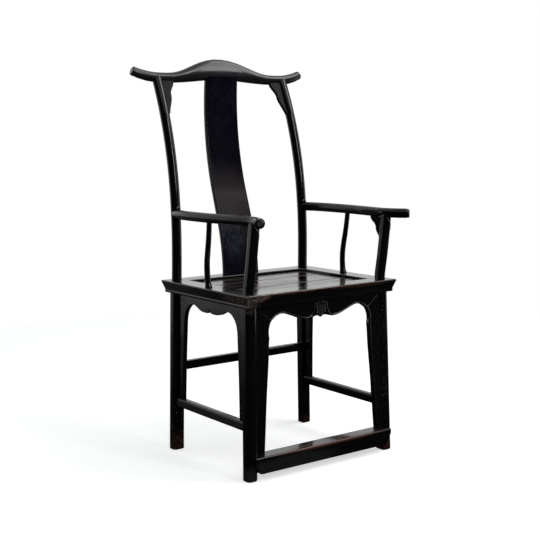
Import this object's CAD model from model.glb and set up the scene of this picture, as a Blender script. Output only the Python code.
"""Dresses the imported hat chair: its lacquer, its wear, its carving and the studio it stands in."""

import math

import bmesh
import bpy
from mathutils import Matrix, Vector
from mathutils.bvhtree import BVHTree


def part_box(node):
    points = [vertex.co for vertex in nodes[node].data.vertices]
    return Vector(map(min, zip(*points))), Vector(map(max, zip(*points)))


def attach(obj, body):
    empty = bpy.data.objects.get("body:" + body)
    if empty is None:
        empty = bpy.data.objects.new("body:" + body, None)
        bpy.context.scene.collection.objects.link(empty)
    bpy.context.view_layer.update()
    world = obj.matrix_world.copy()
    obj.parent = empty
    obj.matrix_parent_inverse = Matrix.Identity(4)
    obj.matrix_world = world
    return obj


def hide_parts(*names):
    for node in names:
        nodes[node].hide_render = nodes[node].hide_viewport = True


bl_info = {
    "name": "Hat Chair",
    "version": (1, 0, 0),
    "blender": (4, 5, 0),
    "location": "View3D > Sidebar > Hat Chair",
    "description": "Dresses the packed hat chair with worn black lacquer and carved detail",
    "category": "Object",
}

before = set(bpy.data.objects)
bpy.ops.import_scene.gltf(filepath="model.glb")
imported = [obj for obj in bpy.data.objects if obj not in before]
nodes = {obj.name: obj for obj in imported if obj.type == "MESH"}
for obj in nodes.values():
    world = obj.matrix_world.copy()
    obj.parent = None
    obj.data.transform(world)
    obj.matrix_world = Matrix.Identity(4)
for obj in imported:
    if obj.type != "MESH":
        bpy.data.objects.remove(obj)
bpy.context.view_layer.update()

# Places on the chair, from the CAD, in metres
SEAT_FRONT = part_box("seat_rail_front")[0].y
SEAT_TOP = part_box("seat_rail_front")[1].z
SEAT_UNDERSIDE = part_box("seat_rail_front")[0].z
FOOTREST_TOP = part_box("footrest")[1].z
CORNER = (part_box("seat_rail_left")[0].x, SEAT_FRONT, SEAT_TOP - 0.008)
FOOT_X = 0.239
FRONT_FOOT_Y = SEAT_FRONT + 0.02
REAR_FOOT_Y = SEAT_FRONT + 0.395
SIDES = (("left", -1), ("right", 1))
FRONT = Vector((0, -1, 0))

# The end of an arm: its round, the way it points, and how it is drawn out
ARM_TIP_X = 0.2567
ARM_TIP_INSET = 0.0075
ARM_TIP_RADIUS = 0.0134
ARM_TIP_DEPTH = 0.0027
ARM_TIP_STRETCH = 2.6
ARM_TIP_WAY = (0.687, -0.727)

# The shoulders where the arms meet the posts
SPUR_WIDTH = 0.0085
SPUR_PROUD = 0.0022
SPUR_RISE = 0.0085
SHOULDER_HEIGHT = 0.66
SHOULDER_STEP = 0.003
SHOULDER_RADIUS = 0.0012
SHOULDER_PROUD = 0.0010

# The front apron's carving: the bead, the drop's columns (place, lift, beads in it) and its leaves
BEAD_RADIUS = 0.0023
BEAD_INSET = 0.0030
BEAD_STEP = 0.0025
BEAD_SPAN = 0.036
APRON_HALF = 0.1665
BEAD_CURL = ((0.0315, 0.4238), (0.0270, 0.4292), (0.0240, 0.4350), (0.0222, 0.4420),
             (0.0212, 0.4490), (0.0208, 0.4545), (0.0212, 0.4585))
DROP_LOW = 0.4268
DROP_COLUMN = 0.0088
DROP_ROW = 0.0061
DROP_SIZE = (0.0034, 0.0040, 0.0030)
DROP_COLUMNS = ((-1.5, 0.5, 4), (-0.5, 0, 5), (0.5, 0, 5), (1.5, 0.5, 4))
LEAF_PROFILE = ((-1, 0), (-0.7, 0.7), (-0.4, 1), (0, 0.55), (0.4, 1), (0.7, 0.7), (1, 0))
LEAF_WIDTH = 0.0030
LEAF_PROUD = 0.0030
LEAF_SUNK = 0.0004
LEAF_TOP = 0.4635
LEAF_ROOT = 0.4565
LEAF_REACHES = ((0.0015, 0.0105), (0.0085, 0.0175))
LOW_LEAF_WIDTH = 0.0090
LOW_LEAF_ROOT = 0.4262
LOW_LEAF_TIP = 0.4166

# Sockets of the colour mixing node, which have no names of their own
MIX_FACTOR, MIX_FIRST, MIX_SECOND, MIX_RESULT = 0, 6, 7, 2

# Mesh work: welding distance, the slope under which faces are one flat, the fold that counts as an arris
WELD = 2e-6
TINY = 1e-6
FLAT_DEGREES = 0.6
ARRIS_DEGREES = 28.0

# Patina: what is too small a part of the finish for a setting of its own
NICK = (0.25, 0.23, 0.19)
CRACK_SHINE = (0.09, 0.09, 0.12)
FLECK_LIFT = 0.14
RUBBED = (0.075, 0.068, 0.06)

# The room: brightness of what the lacquer mirrors, and the lamps (name, place, size, watts, mirrored)
WALL_LIGHT = 0.5
CEILING_LIGHT = 0.62
WINDOW_LIGHT = 2.6
DIM_ROOM = 0.018
LAMPS = (("tall_window", (0.65, -3.1, 2.15), (0.5, 1.7), 24, True),
         ("top_window", (1.65, -0.95, 2.8), (1.5, 2.5), 36, True),
         ("front_fill", (-2.0, -2.6, 1.2), (2.0, 1.6), 40, False))
LAMP_AIM = Vector((0, 0, 0.7))
FLOOR_RADIUS = 2.4
FLOOR_MIRRORED_NEAR = (0.025, 0.024, 0.023)
FLOOR_MIRRORED_FAR = (0.15, 0.148, 0.145)
SENSOR_WIDTH = 36


# Settings

class HatChairLacquer(bpy.types.PropertyGroup):
    ground: bpy.props.FloatVectorProperty(
        name="Ground", description="Colour of the black lacquer", subtype="COLOR",
        size=3, min=0, max=1, default=(0.0008, 0.0006, 0.0007))
    worn: bpy.props.FloatVectorProperty(
        name="Worn", description="Brown that shows where the lacquer is thin", subtype="COLOR",
        size=3, min=0, max=1, default=(0.070, 0.027, 0.016))
    bare: bpy.props.FloatVectorProperty(
        name="Bare", description="Pale wood where the lacquer has gone", subtype="COLOR",
        size=3, min=0, max=1, default=(0.24, 0.20, 0.16))
    dust: bpy.props.FloatVectorProperty(
        name="Dust", description="Dull grey of end grain and dusty corners", subtype="COLOR",
        size=3, min=0, max=1, default=(0.034, 0.033, 0.033))
    bloom: bpy.props.FloatVectorProperty(
        name="Bloom", description="Bluish haze that old lacquer gets", subtype="COLOR",
        size=3, min=0, max=1, default=(0.030, 0.036, 0.050))
    roughness: bpy.props.FloatProperty(
        name="Roughness", description="How matt the old lacquer is", min=0, max=1, default=0.32,
        subtype="FACTOR")
    edge: bpy.props.FloatProperty(
        name="Edge", description="How far the wear reaches from an edge", min=0, max=0.02,
        default=0.0016, unit="LENGTH", subtype="DISTANCE")


class HatChairStage(bpy.types.PropertyGroup):
    camera_place: bpy.props.FloatVectorProperty(
        name="Camera", description="Place of the camera from the front edge of the seat, on the floor",
        size=3, unit="LENGTH", subtype="TRANSLATION", default=(-1.80939, -2.22305, 0.91614))
    camera_turn: bpy.props.FloatVectorProperty(
        name="Turn", description="Yaw, pitch and roll of the camera", size=3, unit="ROTATION",
        subtype="EULER", default=(math.radians(-36.16), math.radians(-7.3), math.radians(-0.63)))
    lens: bpy.props.FloatProperty(
        name="Lens", description="Focal length on a 36 mm sensor, in millimetres", default=71.11,
        min=1, max=500)


# Node helpers

def shader(name):
    material = bpy.data.materials.new(name)
    material.use_nodes = True
    material.node_tree.nodes.clear()
    return material, material.node_tree


def feed(tree, socket, value):
    """Gives a socket its value: another socket is linked to it, a constant is set on it."""
    if isinstance(value, bpy.types.NodeSocket):
        tree.links.new(value, socket)
    else:
        socket.default_value = value


def node(tree, kind, *values, **named):
    """One node. Plain values go to its sockets in order, a name with a capital is a socket's name
    with _ for each space, and any other name is an attribute."""
    made = tree.nodes.new(kind)
    for socket, value in zip(made.inputs, values):
        feed(tree, socket, value)
    for name, value in named.items():
        if name[0].isupper():
            feed(tree, made.inputs[name.replace("_", " ")], value)
        else:
            setattr(made, name, value)
    return made


def math_node(tree, operation, *values, clamp=False):
    return node(tree, "ShaderNodeMath", *values, operation=operation, use_clamp=clamp).outputs[0]


def vector_node(tree, operation, *values):
    made = node(tree, "ShaderNodeVectorMath", *values, operation=operation)
    return made.outputs["Value" if operation in ("LENGTH", "DOT_PRODUCT") else "Vector"]


def object_place(tree):
    return node(tree, "ShaderNodeTexCoord").outputs["Object"]


def product(tree, first, *others):
    for other in others:
        first = math_node(tree, "MULTIPLY", first, other)
    return first


def span(tree, value, low, high, to_low=0.0, to_high=1.0, smooth=True):
    """The value's way from low to high, mapped to another pair of ends and held beyond them."""
    return node(tree, "ShaderNodeMapRange", value, low, high, to_low, to_high,
                interpolation_type="SMOOTHSTEP" if smooth else "LINEAR").outputs[0]


def mix(tree, factor, first, second):
    """A colour between two, each a socket or three numbers."""
    made = node(tree, "ShaderNodeMix", data_type="RGBA")
    for index, value in ((MIX_FACTOR, factor), (MIX_FIRST, first), (MIX_SECOND, second)):
        is_constant_colour = index != MIX_FACTOR and not isinstance(value, bpy.types.NodeSocket)
        feed(tree, made.inputs[index], (*value, 1) if is_constant_colour else value)
    return made.outputs[MIX_RESULT]


def noise_node(tree, vector, scale, detail=4.0, roughness=0.55, distortion=0.0):
    return node(tree, "ShaderNodeTexNoise", Vector=vector, Scale=scale, Detail=detail, Roughness=roughness,
                Distortion=distortion).outputs[0]


def stretched(tree, along, by=14.0):
    """Object coordinates scaled up across one axis, so that noise runs along it as grain does."""
    scale = [1 if axis == along else by for axis in "XYZ"]
    return node(tree, "ShaderNodeMapping", Vector=object_place(tree), Scale=scale).outputs[0]


def near(tree, place, centre, radius, cloud, ragged):
    """1 inside a ragged patch round a point, 0 outside it."""
    scaled = vector_node(tree, "DIVIDE", vector_node(tree, "SUBTRACT", place, centre), radius)
    raggedness = span(tree, cloud, 0.3, 0.7, -ragged, ragged, False)
    reach = math_node(tree, "ADD", vector_node(tree, "LENGTH", scaled), raggedness)
    return span(tree, reach, 1.0, 0.5)


# Finishes

def lacquer(name, along, wear=0.5, rough=None, coat=0.85, places=(), tint=None, cracks=0.0, level=0.08,
            gloss=0.09, dusty=(), bald=1.0, ripple=1.0, ragged=0.35, edge_width=1.0, thinned=0.04, bloom=(),
            chips=0.0, flecks=()):
    """Old black lacquer over brown wood, with its grain along one axis.

    places, dusty, flecks and bloom are patches, each a centre, a radius along each axis and a strength.
    wear is how far the brown shows at edges, thinned how far in between. chips and bald are how much
    bare wood shows at edges and in worn places. edge_width is how wide an edge wears, and ragged how
    torn the outline of a worn place is. coat and gloss are the top layer and its roughness, rough and
    level the roughness and shine of the lacquer below it. cracks is how deep fine splits along the
    grain are, and ripple how far the surface waves.
    """
    colours = bpy.context.scene.hat_chair_lacquer
    ground = tint or colours.ground
    material, tree = shader(name)
    place = object_place(tree)

    # Noise that runs with the grain, and noise that doesn't
    grain = stretched(tree, along)
    fine = noise_node(tree, grain, 26, 6, 0.6)
    broad = noise_node(tree, grain, 3.2, 3, 0.5, 0.4)
    cloud = noise_node(tree, place, 9, 5, 0.65)
    speck = noise_node(tree, place, 260, 3, 0.6)
    slow = noise_node(tree, place, 14, 2, 0.5)
    streaks = noise_node(tree, stretched(tree, along, 9), 34, 4, 0.7, 0.5)

    # Worn edges: where the normal, rounded over the edge's width, departs from the face's own
    bevel = node(tree, "ShaderNodeBevel", samples=6, Radius=colours.edge * edge_width).outputs[0]
    flat = node(tree, "ShaderNodeNewGeometry").outputs["Normal"]
    edge = span(tree, vector_node(tree, "DOT_PRODUCT", bevel, flat), 0.995, 0.9)
    edge = product(tree, edge, span(tree, cloud, 0.46, 0.66))
    worn = math_node(tree, "MULTIPLY", edge, wear * 1.5, clamp=True)

    # Worn places, in which bare wood shows the more the stronger they are
    gone = None
    for centre, radius, strength in places:
        spot = product(tree, near(tree, place, centre, radius, cloud, ragged), strength)
        spot = product(tree, spot, span(tree, streaks, 0.4, 0.56, 1 - ragged * 1.7, 1.0))
        worn = math_node(tree, "MAXIMUM", worn, spot)
        open_wood = product(tree, spot, strength * strength)
        gone = open_wood if gone is None else math_node(tree, "MAXIMUM", gone, open_wood)

    # Lacquer that has grown thin along the grain, and the grains of bare wood
    thin = product(tree, span(tree, broad, 0.5, 0.72), span(tree, streaks, 0.35, 0.6, 0.3, 1.0))
    thin = product(tree, thin, thinned * wear)
    worn = math_node(tree, "ADD", worn, thin, clamp=True)
    if gone is None:
        gone = product(tree, worn, 0.5 * wear)
    gone = product(tree, gone, bald)
    gone = math_node(tree, "MAXIMUM", gone, math_node(tree, "MULTIPLY", edge, chips, clamp=True))
    gone = product(tree, span(tree, gone, 0.25, 0.8), span(tree, speck, 0.44, 0.58))
    crumbs = noise_node(tree, place, 55, 4, 0.75)
    gone = product(tree, gone, span(tree, crumbs, 0.42, 0.58, 0.1, 1.0))

    # Colour: lacquer, brown, bare wood, and on them dust, nicks and pits, and haze
    colour = mix(tree, span(tree, fine, 0.3, 0.75), ground, [c * 2.2 for c in ground])
    colour = mix(tree, worn, colour, colours.worn)
    colour = mix(tree, gone, colour, colours.bare)
    dust = None
    for centre, radius, strength in dusty:
        spot = product(tree, near(tree, place, centre, radius, cloud, 0.1), strength)
        dust = spot if dust is None else math_node(tree, "MAXIMUM", dust, spot)
    if dust is not None:
        colour = mix(tree, dust, colour, colours.dust)
    for centre, radius, strength in flecks:
        spot = near(tree, place, centre, radius, cloud, 0.3)
        spot = product(tree, spot, strength * FLECK_LIFT)
        nicks = math_node(tree, "ADD", noise_node(tree, place, 210, 3, 0.6), spot)
        pits = math_node(tree, "ADD", noise_node(tree, place, 110, 3, 0.6), spot)
        pits = product(tree, span(tree, pits, 0.66, 0.7), span(tree, spot, 0.03, 0.06))
        colour = mix(tree, pits, colour, [c * 0.6 for c in ground])
        nicks = product(tree, span(tree, nicks, 0.68, 0.72), span(tree, spot, 0.01, 0.03))
        nicks = product(tree, nicks, span(tree, cloud, 0.35, 0.6, 0.25, 0.8))
        colour = mix(tree, nicks, colour, NICK)
    for centre, radius, strength in bloom:
        haze = product(tree, near(tree, place, centre, radius, cloud, 0.2), strength)
        haze = product(tree, haze, span(tree, streaks, 0.42, 0.66))
        colour = mix(tree, haze, colour, colours.bloom)

    # Roughness and bumps
    base = colours.roughness if rough is None else rough
    roughness = math_node(tree, "ADD", span(tree, cloud, 0.3, 0.7, base - 0.06, base + 0.08, False),
                          product(tree, worn, 0.22), clamp=True)
    height = math_node(tree, "ADD", product(tree, fine, 0.3), product(tree, slow, 3.2))
    height = math_node(tree, "SUBTRACT", height, product(tree, gone, 1.6))
    if cracks:
        pores = noise_node(tree, stretched(tree, along, 60), 22, 2, 0.5)
        split = math_node(tree, "ABSOLUTE", math_node(tree, "SUBTRACT", pores, 0.5))
        split = product(tree, span(tree, split, 0.012, 0.0), span(tree, cloud, 0.48, 0.6))
        height = math_node(tree, "SUBTRACT", height, product(tree, split, cracks))
        colour = mix(tree, product(tree, split, 0.5), colour, CRACK_SHINE)
    bump = node(tree, "ShaderNodeBump", Strength=0.2 * ripple, Distance=0.001, Height=height,
                Normal=bevel).outputs[0]

    body = node(tree, "ShaderNodeBsdfPrincipled", Base_Color=colour, Roughness=roughness, IOR=1.5,
                Specular_IOR_Level=level, Coat_Weight=coat, Coat_Roughness=gloss, Normal=bump,
                Coat_Normal=bump)
    node(tree, "ShaderNodeOutputMaterial", Surface=body.outputs[0])
    return material


def bare_wood(name, along):
    """The unlacquered underside: dusty brown boards with open grain."""
    material, tree = shader(name)
    grain = stretched(tree, along, 18)
    fine = noise_node(tree, grain, 20, 6, 0.65, 0.3)
    cloud = noise_node(tree, object_place(tree), 6, 4)
    colour = mix(tree, span(tree, fine, 0.3, 0.7), (0.09, 0.055, 0.035), (0.21, 0.135, 0.085))
    colour = mix(tree, span(tree, cloud, 0.4, 0.75, 0, 0.6), colour, (0.07, 0.05, 0.04))
    bump = node(tree, "ShaderNodeBump", Strength=0.3, Distance=0.001, Height=fine).outputs[0]
    body = node(tree, "ShaderNodeBsdfPrincipled", Base_Color=colour, Roughness=0.75, Normal=bump)
    node(tree, "ShaderNodeOutputMaterial", Surface=body.outputs[0])
    return material


# Meshes

def placed(name, mesh, material, stands_for=()):
    """Puts a finished mesh on the chair's one body."""
    mesh.materials.clear()
    mesh.materials.append(material)
    piece = bpy.data.objects.new(name, mesh)
    bpy.context.scene.collection.objects.link(piece)
    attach(piece, "root")
    if stands_for:
        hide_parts(*stands_for)
    return piece


def grown(name, shape):
    """A smooth-shaded mesh from a bmesh, which is used up."""
    for face in shape.faces:
        face.smooth = True
    mesh = bpy.data.meshes.new(name)
    shape.to_mesh(mesh)
    shape.free()
    return mesh


def rounded(shape, width, segments):
    """Rounds the sharp edges of a bmesh."""
    arrises = [edge for edge in shape.edges
               if len(edge.link_faces) == 2 and edge.calc_face_angle() > math.radians(ARRIS_DEGREES)]
    bmesh.ops.bevel(shape, geom=arrises, offset=width, offset_type="OFFSET", segments=segments,
                    profile=0.5, affect="EDGES", clamp_overlap=False)


def blunted(shape, tip, outward):
    """Draws a rounded arm end out into a blunter dome, inside the form it had."""
    for vert in shape.verts:
        back = (tip - vert.co).dot(outward)
        if back < ARM_TIP_DEPTH:
            across = vert.co - tip + outward * back
            far = ARM_TIP_RADIUS - (ARM_TIP_RADIUS - min(across.length, ARM_TIP_RADIUS)) * 2.0
            if across.length > TINY:
                across *= max(far, 0.0) / across.length
            vert.co = tip - outward * back * ARM_TIP_STRETCH + across


def softened(name, width, segments, tip=None, trims=()):
    """The CAD node's form with its arrises rounded as a plane and years of use leave them."""
    low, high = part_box(name)
    shape = bmesh.new()
    shape.from_mesh(nodes[name].data)
    bmesh.ops.remove_doubles(shape, verts=shape.verts, dist=WELD)
    bmesh.ops.dissolve_limit(shape, angle_limit=math.radians(FLAT_DEGREES), verts=shape.verts,
                             edges=shape.edges)
    for point, outward in trims:
        whole = shape.verts[:] + shape.edges[:] + shape.faces[:]
        cut = bmesh.ops.bisect_plane(shape, geom=whole, dist=TINY, plane_co=point, plane_no=outward,
                                     clear_outer=True)
        rim = [part for part in cut["geom_cut"] if isinstance(part, bmesh.types.BMEdge)]
        bmesh.ops.holes_fill(shape, edges=rim, sides=0)
    rounded(shape, width, segments)
    if tip:
        blunted(shape, *tip)
    for vert in shape.verts:
        vert.co = [min(max(value, floor), top) for value, floor, top in zip(vert.co, low, high)]
    bmesh.ops.triangulate(shape, faces=[face for face in shape.faces if len(face.verts) > 4])
    return grown(name + "_wood", shape)


def dress(name, material, width=0.0006, segments=2, tip=None, trims=()):
    """Gives a node its worn arrises and its finish, and puts the result in the node's place."""
    mesh = softened(name, width, segments, tip, trims)
    piece = placed(name + "_wood", mesh, material, (name,))
    even = piece.modifiers.new("even", "WEIGHTED_NORMAL")
    even.keep_sharp = True


def on_front(name, places):
    """Points on the front of a CAD node, to lay carving on, each straight behind an x and a z."""
    shape = bmesh.new()
    shape.from_mesh(nodes[name].data)
    tree = BVHTree.FromBMesh(shape)
    shape.free()
    points = [tree.ray_cast(Vector((x, -1, z)), -FRONT)[0] for x, z in places]
    if None in points:
        raise RuntimeError(name + " has no surface behind one of its carving points")
    return points


def post_box(name, z):
    """The two corners of a post's box near one height."""
    mesh = nodes[name].data
    ends = [(mesh.vertices[edge.vertices[0]].co, mesh.vertices[edge.vertices[1]].co) for edge in mesh.edges]
    cuts = [a.lerp(b, (z - a.z) / (b.z - a.z)) for a, b in ends if (a.z - z) * (b.z - z) < 0]
    return (Vector([min(cut[axis] for cut in cuts) for axis in range(3)]),
            Vector([max(cut[axis] for cut in cuts) for axis in range(3)]))


def edge_lines(boards, facing):
    """Lines along the shaped edges of boards: each board comes with the way its edge looks.

    A line is a list of points, each with the way from the edge into the wood.
    """
    steps = {}
    for name, away in boards:
        shape = bmesh.new()
        shape.from_mesh(nodes[name].data)
        bmesh.ops.remove_doubles(shape, verts=shape.verts, dist=WELD)
        for edge in shape.edges:
            ends = [vert.co.copy() for vert in edge.verts]
            if len(edge.link_faces) != 2 or max(end.z for end in ends) > SEAT_UNDERSIDE - 0.0005:
                continue
            for one, other in (edge.link_faces, reversed(edge.link_faces)):
                # One face is the board's front and the other its shaped edge, which looks the given way
                meets_front = one.normal.dot(facing) > 0.97 and other.normal.dot(facing) < 0.5
                if meets_front and other.normal.dot(Vector(away)) > 0.1:
                    keys = [tuple(round(value, 4) for value in end) for end in ends]
                    for key, end, far in zip(keys, ends, reversed(keys)):
                        spot = steps.setdefault(key, [end, Vector(), []])
                        spot[1] -= other.normal
                        spot[2].append(far)
        shape.free()
    lines = []
    while steps:
        key = min(steps, key=lambda item: (len(steps[item][2]) != 1, item))
        line = []
        while key in steps:
            end, inward, nearby = steps.pop(key)
            line.append((end, inward.normalized()))
            key = next((far for far in nearby if far in steps), None)
        lines.append(line)
    return [line for line in lines if len(line) > 2]


def evened(points, spacing, rounds=2):
    """The same line with its points a set distance apart and its kinks eased."""
    line = [points[0]]
    for start, end in zip(points, points[1:]):
        count = max(1, round((end - start).length / spacing))
        line += [start.lerp(end, step / count) for step in range(1, count + 1)]
    for _ in range(rounds):
        line = [line[0]] + [(a + b * 2 + c) / 4 for a, b, c in zip(line, line[1:], line[2:])] + [line[-1]]
    return line


def rod(shape, line, radius, proud, face, sides=10, taper=0):
    """Adds a half-sunk bead of wood along a line that lies on a face, thinner over its last points."""
    rings = []
    for index, point in enumerate(line):
        ahead = (line[min(index + 1, len(line) - 1)] - line[max(index - 1, 0)]).normalized()
        across = ahead.cross(face).normalized()
        from_end = min(index, len(line) - 1 - index)
        thin = min(1.0, 0.35 + 0.65 * from_end / taper) if taper else 1.0
        rings.append([shape.verts.new(point + across * math.cos(turn) * radius * thin
                                      + face * math.sin(turn) * proud * thin)
                      for turn in (math.tau * side / sides for side in range(sides))])
    for low, high in zip(rings, rings[1:]):
        for side in range(sides):
            shape.faces.new((low[side], low[(side + 1) % sides], high[(side + 1) % sides], high[side]))
    shape.faces.new(reversed(rings[0]))
    shape.faces.new(rings[-1])


def drop(shape, centre, size):
    """Adds one carved bead, a flattened ball half sunk in the wood."""
    made = bmesh.ops.create_uvsphere(shape, u_segments=16, v_segments=10, radius=1.0)
    for vert in made["verts"]:
        vert.co = centre + Vector([a * b for a, b in zip(vert.co, size)])


def leaf(shape, root, tip, width, proud, face, steps=14):
    """Adds a pointed leaf in low relief with a crease down its middle."""
    along = tip - root
    across = along.cross(face).normalized()
    rows = []
    for step in range(steps + 1):
        share = step / steps
        half = width * math.sin(math.pi * share ** 0.75) ** 0.8 if 0 < share < 1 else 0.0
        rows.append([shape.verts.new(root + along * share + across * half * side
                                     + face * (proud * lift * (half / width) - LEAF_SUNK))
                     for side, lift in LEAF_PROFILE])
    for low, high in zip(rows, rows[1:]):
        for index in range(len(low) - 1):
            shape.faces.new((low[index], low[index + 1], high[index + 1], high[index]))


# The pieces, one operator for each group

class Piece:
    """What every operator of this file shares."""
    bl_options = {"REGISTER"}

    def execute(self, context):
        self.make(context)
        return {"FINISHED"}


class HATCHAIR_OT_posts(Piece, bpy.types.Operator):
    """Dresses the four posts with their legs"""
    bl_idname = "hat_chair.posts"
    bl_label = "Posts"

    def make(self, context):
        foot = (-FOOT_X, FRONT_FOOT_Y, 0)
        leg_top = (-FOOT_X, FRONT_FOOT_Y, SEAT_UNDERSIDE)
        worn = [((FOOT_X, FRONT_FOOT_Y, 0), (0.04, 0.04, 0.07), 0.45),
                ((-FOOT_X, REAR_FOOT_Y, 0), (0.04, 0.04, 0.06), 0.26),
                ((FOOT_X, REAR_FOOT_Y, 0), (0.04, 0.04, 0.04), 0.3),
                ((CORNER[0] + 0.02, FRONT_FOOT_Y, SEAT_UNDERSIDE), (0.03, 0.03, 0.014), 0.35)]
        dusty = [(foot, (0.05, 0.05, 0.05), 0.35), (leg_top, (0.05, 0.05, 0.02), 0.35)]
        flecks = [(leg_top, (0.05, 0.05, 0.02), 0.75),
                  ((-0.24, REAR_FOOT_Y, 0.02), (0.05, 0.05, 0.14), 0.4),
                  ((0.23, FRONT_FOOT_Y, 0.27), (0.04, 0.04, 0.26), 0.22)]
        coat = lacquer("post_lacquer", "Z", wear=0.4, places=worn, dusty=dusty, bald=0.5, chips=0.8,
                       flecks=flecks)
        for side, _ in SIDES:
            dress("rear_post_" + side, coat, width=0.0012)
            dress("front_post_" + side, coat, width=0.0012)


class HATCHAIR_OT_crest(Piece, bpy.types.Operator):
    """Dresses the crest rail"""
    bl_idname = "hat_chair.crest"
    bl_label = "Crest rail"

    def make(self, context):
        hump = [((0.045, 0.262, 1.108), (0.09, 0.07, 0.03), 0.8)]
        coat = lacquer("crest_lacquer", "X", wear=0.3, rough=0.3, coat=0.5, tint=(0.0070, 0.0056, 0.0058),
                       level=0.22, gloss=0.11, ripple=0.6, bloom=hump)
        dress("crest_rail", coat)


class HATCHAIR_OT_splat(Piece, bpy.types.Operator):
    """Dresses the back splat"""
    bl_idname = "hat_chair.splat"
    bl_label = "Back splat"

    def make(self, context):
        middle_and_left_edge = [((0.0, 0.19, 0.73), (0.1, 0.1, 0.12), 0.15),
                                ((-0.062, 0.2, 0.85), (0.008, 0.1, 0.2), 0.4)]
        low_and_high = [((-0.02, 0.17, 0.62), (0.06, 0.08, 0.11), 0.9),
                        ((0.0, 0.25, 1.02), (0.08, 0.08, 0.1), 0.12)]
        coat = lacquer("splat_lacquer", "Z", wear=0.5, rough=0.3, coat=0.38, places=middle_and_left_edge,
                       tint=(0.0006, 0.0004, 0.0026), cracks=2.4, bald=0.0, ragged=0.15, bloom=low_and_high,
                       ripple=0.3, gloss=0.16)
        dress("back_splat", coat, width=0.0035, segments=4)


class HATCHAIR_OT_arms(Piece, bpy.types.Operator):
    """Dresses the arms, their spindles and the brackets"""
    bl_idname = "hat_chair.arms"
    bl_label = "Arms and spindles"

    def make(self, context):
        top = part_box("arm_left")[1].z
        worn = [((-0.2505, -0.2545, 0.6936), (0.007, 0.007, 0.011), 1.0),
                ((-0.250, -0.16, top), (0.012, 0.12, 0.007), 0.35)]
        tips = {}
        for side, sign in SIDES:
            low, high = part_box("arm_" + side)
            tips[side] = Vector((sign * ARM_TIP_X, low.y + ARM_TIP_INSET, (low.z + high.z) / 2))
        end_grain = [(tip, (0.0095, 0.0095, 0.0095), 0.9) for tip in tips.values()]
        arm = lacquer("arm_lacquer", "Y", wear=0.5, coat=0.6, places=worn, dusty=end_grain)
        bracket = lacquer("bracket_lacquer", "Z", wear=0.4, rough=0.5, coat=0.07)
        spindle = lacquer("spindle_lacquer", "Z", wear=0.4)
        for side, sign in SIDES:
            outward = Vector((sign * ARM_TIP_WAY[0], ARM_TIP_WAY[1], 0)).normalized()
            dress("arm_" + side, arm, tip=(tips[side] + Vector((0, 0, 0.001)), outward))
            dress("side_spindle_" + side, spindle)
            dress("crest_bracket_" + side, bracket)
            dress("arm_bracket_" + side, bracket)


class HATCHAIR_OT_shoulders(Piece, bpy.types.Operator):
    """Carves the arms' pointed spurs on the rear posts and the shoulder lines on the front posts"""
    bl_idname = "hat_chair.shoulders"
    bl_label = "Pointed shoulders"

    def make(self, context):
        spurs, lines = bmesh.new(), bmesh.new()
        for side, _ in SIDES:
            name = "rear_post_" + side
            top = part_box("arm_" + side)[1].z
            x = sum(corner.x for corner in post_box(name, top)) / 2
            root, tip = on_front(name, [(x, top - 0.002), (x, top + SPUR_RISE)])
            leaf(spurs, root, tip, SPUR_WIDTH, SPUR_PROUD, FRONT)
            name = "front_post_" + side
            left, right = [corner.x for corner in post_box(name, SHOULDER_HEIGHT)]
            line = on_front(name, [(left + 0.0035, 0.6795), (left + 0.009, 0.6765), (right - 0.009, 0.6665),
                                   (right - 0.0045, 0.6625), (right - 0.003, 0.655), (right - 0.003, 0.638)])
            rod(lines, evened(line, SHOULDER_STEP), SHOULDER_RADIUS, SHOULDER_PROUD, FRONT, sides=8, taper=3)
        black = lacquer("shoulder_lacquer", "Z", wear=0.5, rough=0.3, coat=1.0)
        rubbed = lacquer("rubbed_lacquer", "Z", wear=0.5, rough=0.3, coat=1.0, tint=RUBBED)
        placed("arm_spurs", grown("arm_spurs", spurs), black)
        placed("shoulder_lines", grown("shoulder_lines", lines), rubbed)


class HATCHAIR_OT_seat(Piece, bpy.types.Operator):
    """Dresses the seat frame, its boards and battens"""
    bl_idname = "hat_chair.seat"
    bl_label = "Seat"

    def make(self, context):
        corner_and_front_edge = {
            "places": [(CORNER, (0.040, 0.11, 0.034), 0.62), (CORNER, (0.012, 0.014, 0.04), 1.0),
                       (CORNER, (0.09, 0.016, 0.014), 0.95),
                       ((-0.08, SEAT_FRONT, SEAT_TOP), (0.19, 0.010, 0.008), 0.85),
                       ((0.14, SEAT_FRONT - 0.002, SEAT_TOP - 0.004), (0.14, 0.010, 0.012), 0.6)],
            "dusty": [(CORNER, (0.06, 0.14, 0.05), 0.7)],
            "flecks": [(CORNER, (0.045, 0.12, 0.03), 0.85),
                       ((-0.12, SEAT_FRONT, SEAT_TOP), (0.15, 0.008, 0.006), 0.9)]}
        across = lacquer("rail_lacquer_across", "X", wear=0.6, edge_width=1.8, chips=1.8,
                         **corner_and_front_edge)
        deep = lacquer("rail_lacquer_deep", "Y", wear=0.6, edge_width=1.8, chips=1.2, **corner_and_front_edge)
        joints = [((0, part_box("seat_board_" + name)[1].y - 0.004, SEAT_TOP - 0.0065), (0.5, 0.010, 0.01), 0.8)
                  for name in ("front", "middle")]
        panel = lacquer("seat_lacquer", "X", wear=0.5, rough=0.15, coat=0.0, places=joints, level=0.5,
                        bald=0.0, ripple=0.35, ragged=0.15, thinned=1.8)
        under = bare_wood("bare_wood", "Y")
        for name in ("front", "rear"):
            dress("seat_rail_" + name, across)
        for side, _ in SIDES:
            dress("seat_rail_" + side, deep)
            dress("seat_batten_" + side, under)
        for name in ("front", "middle", "rear"):
            dress("seat_board_" + name, panel)


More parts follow.
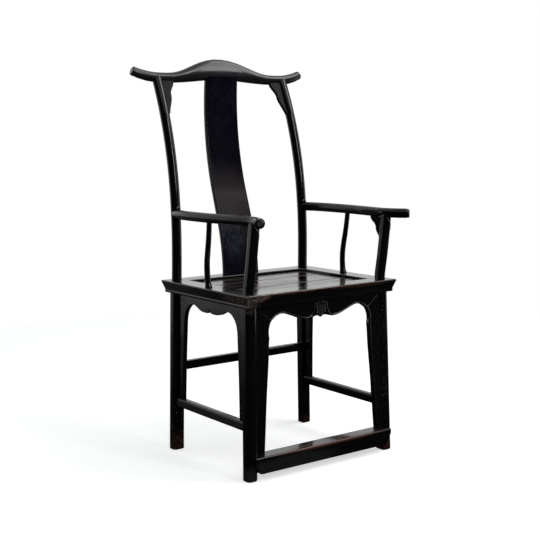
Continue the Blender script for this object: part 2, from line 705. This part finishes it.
class HATCHAIR_OT_aprons(Piece, bpy.types.Operator):
    """Dresses the aprons under the seat"""
    bl_idname = "hat_chair.aprons"
    bl_label = "Aprons"

    def make(self, context):
        across, deep, down = [lacquer("apron_lacquer_" + way, axis, wear=0.3, rough=0.36)
                              for way, axis in (("across", "X"), ("deep", "Y"), ("down", "Z"))]
        dress("front_apron", across, width=0.0005)
        dress("rear_apron", across)
        for side, _ in SIDES:
            dress("side_apron_" + side, deep)
            dress("front_apron_strip_" + side, down, width=0.0005)
            dress("side_apron_strip_front_" + side, down)
            dress("side_apron_strip_rear_" + side, down)


class HATCHAIR_OT_carving(Piece, bpy.types.Operator):
    """Carves the bead along the front apron and the small beaded drop at its middle"""
    bl_idname = "hat_chair.carving"
    bl_label = "Carving"

    def make(self, context):
        material = lacquer("carving_lacquer", "X", wear=0.3, rough=0.3, coat=1.0, level=0.6)
        face = Vector((0, -1, 0.02)).normalized()
        placed("apron_bead", grown("apron_bead", self.bead(face)), material)
        placed("apron_drop", grown("apron_drop", self.beaded_drop(face)), material)

    def bead(self, face):
        """The bead: it follows the edge of each half of the apron and turns up beside the middle."""
        boards = [("front_apron", (0, 0, -1))]
        boards += [("front_apron_strip_" + side, (-sign, 0, 0)) for side, sign in SIDES]
        shape = bmesh.new()
        for line in edge_lines(boards, FRONT):
            rim = [end + inward * BEAD_INSET for end, inward in line]
            for sign in (-1, 1):
                half = [point for point in rim
                        if point.x * sign > BEAD_SPAN and point.z > FOOTREST_TOP + 0.001]
                half.sort(key=lambda point: (round(point.z, 3) if abs(point.x) > APRON_HALF else 1,
                                             -abs(point.x)))
                y = half[-1].y + 0.0002
                half += [Vector((x * sign, y, z)) for x, z in BEAD_CURL]
                rod(shape, evened(half, BEAD_STEP), BEAD_RADIUS, BEAD_RADIUS, face)
        return shape

    def beaded_drop(self, face):
        """The drop: four columns of beads, two leaves above them on each side and one below."""
        shape = bmesh.new()
        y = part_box("front_apron")[0].y + 0.0006
        for column, lift, count in DROP_COLUMNS:
            for row in range(count):
                centre = Vector((column * DROP_COLUMN, y, DROP_LOW + (lift + row) * DROP_ROW))
                drop(shape, centre, DROP_SIZE)
        for sign in (-1, 1):
            for root, tip in LEAF_REACHES:
                leaf(shape, Vector((root * sign, y, LEAF_ROOT - root / 2)),
                     Vector((tip * sign, y, LEAF_TOP - root / 2)), LEAF_WIDTH, LEAF_PROUD, face)
        leaf(shape, Vector((0, y, LOW_LEAF_ROOT)), Vector((0, y, LOW_LEAF_TIP)), LOW_LEAF_WIDTH,
             LEAF_PROUD, face)
        return shape


class HATCHAIR_OT_stretchers(Piece, bpy.types.Operator):
    """Dresses the footrest and the stretchers"""
    bl_idname = "hat_chair.stretchers"
    bl_label = "Footrest and stretchers"

    def make(self, context):
        low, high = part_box("footrest")
        trodden = [((0.02, low.y + 0.004, high.z), (0.25, 0.022, 0.010), 0.8)]
        left_front = [((-0.13, low.y, low.z + 0.012), (0.22, 0.03, 0.03), 0.28)]
        trims = [((low.x + 0.010, 0, 0), (-1, 0, 0)), ((high.x - 0.006, 0, 0), (1, 0, 0))]
        coat = lacquer("footrest_lacquer", "X", wear=0.7, rough=0.36, places=trodden, bald=0.2, ragged=0.12,
                       dusty=left_front)
        dress("footrest", coat, width=0.0014, segments=3, trims=trims)
        low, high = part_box("side_stretcher_left")
        left_top = [(((low.x + high.x) / 2, 0, high.z), (0.04, 0.4, 0.04), 0.75)]
        deep = lacquer("stretcher_lacquer", "Y", wear=0.5, coat=0.5, dusty=left_top)
        dress("rear_stretcher", lacquer("rear_stretcher_lacquer", "X", wear=0.4))
        for side, _ in SIDES:
            dress("side_stretcher_" + side, deep)


class HATCHAIR_OT_stage(Piece, bpy.types.Operator):
    """Sets up the pale floor, the studio light and the camera"""
    bl_idname = "hat_chair.stage"
    bl_label = "Stage"

    def make(self, context):
        floor()
        studio()
        camera(context.scene.hat_chair_stage)
        context.scene.view_settings.view_transform = "Standard"


# The stage

def floor():
    """A round of pale floor under the chair that catches its shadow."""
    mesh = bpy.data.meshes.new("floor")
    shape = bmesh.new()
    bmesh.ops.create_circle(shape, cap_ends=True, segments=96, radius=FLOOR_RADIUS)
    shape.to_mesh(mesh)
    shape.free()
    piece = bpy.data.objects.new("floor", mesh)
    bpy.context.scene.collection.objects.link(piece)
    material, tree = shader("pale_floor")
    is_camera = node(tree, "ShaderNodeLightPath").outputs["Is Camera Ray"]
    farther = span(tree, node(tree, "ShaderNodeSeparateXYZ", object_place(tree)).outputs["Y"], 0.6, 1.5)
    mirrored = mix(tree, farther, FLOOR_MIRRORED_NEAR, FLOOR_MIRRORED_FAR)
    dull = node(tree, "ShaderNodeBsdfDiffuse", Color=mirrored).outputs[0]
    pale = node(tree, "ShaderNodeBsdfDiffuse", Color=(0.8, 0.8, 0.8, 1)).outputs[0]
    glow = node(tree, "ShaderNodeEmission", Strength=0.5).outputs[0]
    shown = node(tree, "ShaderNodeAddShader", pale, glow).outputs[0]
    choice = node(tree, "ShaderNodeMixShader", is_camera, dull, shown)
    node(tree, "ShaderNodeOutputMaterial", Surface=choice.outputs[0])
    mesh.materials.append(material)


def studio():
    """Soft light: a white wall behind the chair, soft windows above and beside it, a dim room in front.

    The world's brightness goes by direction, so the patches below are pieces of the sphere that the
    lacquer mirrors. The camera sees plain white.
    """
    world = bpy.data.worlds.new("studio")
    bpy.context.scene.world = world
    world.use_nodes = True
    tree = world.node_tree
    tree.nodes.clear()
    direction = node(tree, "ShaderNodeTexCoord").outputs["Generated"]
    x, y, z = node(tree, "ShaderNodeSeparateXYZ", direction).outputs
    wall = product(tree, span(tree, y, 0.58, 0.72), span(tree, z, -0.24, 0.035), span(tree, z, 0.85, 0.6))
    above = span(tree, z, 0.56, 0.64, 0.0, CEILING_LIGHT)
    side = product(tree, span(tree, x, 0.78, 0.88), span(tree, z, 0.4, 0.3), span(tree, y, 0.3, 0.1))
    front = product(tree, span(tree, z, 0.42, 0.47), span(tree, z, 0.7, 0.6), span(tree, x, 0.35, 0.5),
                    span(tree, y, -0.35, -0.5, 0.0, WINDOW_LIGHT))
    level = product(tree, wall, WALL_LIGHT)
    for patch in (above, side, DIM_ROOM, front):
        level = math_node(tree, "MAXIMUM", level, patch)
    tint = mix(tree, span(tree, z, 0.2, 0.6), (1.0, 0.975, 0.95), (0.93, 0.97, 1.0))
    light = node(tree, "ShaderNodeBackground", Color=tint, Strength=level).outputs[0]
    white = node(tree, "ShaderNodeBackground", Color=(1, 1, 1, 1), Strength=1.0).outputs[0]
    path = node(tree, "ShaderNodeLightPath")
    shown = span(tree, z, 0.2, 0.5, 0.75, 0.4)
    seen = product(tree, wall, shown, path.outputs["Is Glossy Ray"])
    seen = math_node(tree, "MAXIMUM", path.outputs["Is Camera Ray"], seen)
    choice = node(tree, "ShaderNodeMixShader", seen, light, white)
    node(tree, "ShaderNodeOutputWorld", Surface=choice.outputs[0])
    for name, place, (wide, tall), power, mirrored in LAMPS:
        lamp = bpy.data.lights.new(name, "AREA")
        lamp.shape = "RECTANGLE"
        lamp.size, lamp.size_y = wide, tall
        lamp.energy = power
        holder = bpy.data.objects.new(name, lamp)
        holder.location = place
        # The top window looks straight down, the other lamps at the chair
        if name != "top_window":
            holder.rotation_euler = (LAMP_AIM - Vector(place)).to_track_quat("-Z", "Y").to_euler()
        holder.visible_glossy = mirrored
        bpy.context.scene.collection.objects.link(holder)


def camera(sizes):
    """A camera at the photograph's place; its place is measured from the front edge of the seat."""
    yaw, pitch, roll = sizes.camera_turn
    ahead = Vector((-math.sin(yaw) * math.cos(pitch), math.cos(yaw) * math.cos(pitch), math.sin(pitch)))
    right = Vector((math.cos(yaw), math.sin(yaw), 0))
    up = right.cross(ahead)
    right, up = (right * math.cos(roll) + up * math.sin(roll), up * math.cos(roll) - right * math.sin(roll))
    data = bpy.data.cameras.new("camera")
    data.lens = sizes.lens
    data.sensor_width = SENSOR_WIDTH
    data.clip_end = 50
    holder = bpy.data.objects.new("camera", data)
    turn = Matrix((right, up, -ahead)).transposed().to_4x4()
    place = Vector(sizes.camera_place) + Vector((0, SEAT_FRONT, 0))
    holder.matrix_world = Matrix.Translation(place) @ turn
    bpy.context.scene.collection.objects.link(holder)
    bpy.context.scene.camera = holder


# The add-on

STEPS = (HATCHAIR_OT_posts, HATCHAIR_OT_crest, HATCHAIR_OT_splat, HATCHAIR_OT_arms, HATCHAIR_OT_shoulders,
         HATCHAIR_OT_seat, HATCHAIR_OT_aprons, HATCHAIR_OT_carving, HATCHAIR_OT_stretchers, HATCHAIR_OT_stage)


class HATCHAIR_PT_panel(bpy.types.Panel):
    """Lists the steps that dress the chair"""
    bl_idname = "HATCHAIR_PT_panel"
    bl_label = "Hat Chair"
    bl_space_type = "VIEW_3D"
    bl_region_type = "UI"
    bl_category = "Hat Chair"

    def draw(self, context):
        for step in STEPS:
            self.layout.operator(step.bl_idname)
        for group in (context.scene.hat_chair_lacquer, context.scene.hat_chair_stage):
            for name in group.__annotations__:
                self.layout.prop(group, name)


CLASSES = (HatChairLacquer, HatChairStage, *STEPS, HATCHAIR_PT_panel)


def register():
    for entry in CLASSES:
        bpy.utils.register_class(entry)
    bpy.types.Scene.hat_chair_lacquer = bpy.props.PointerProperty(type=HatChairLacquer)
    bpy.types.Scene.hat_chair_stage = bpy.props.PointerProperty(type=HatChairStage)


def unregister():
    del bpy.types.Scene.hat_chair_stage
    del bpy.types.Scene.hat_chair_lacquer
    for entry in reversed(CLASSES):
        bpy.utils.unregister_class(entry)


def main():
    register()
    for step in STEPS:
        group, name = step.bl_idname.split(".")
        getattr(getattr(bpy.ops, group), name)()


if __name__ == "__main__":
    main()
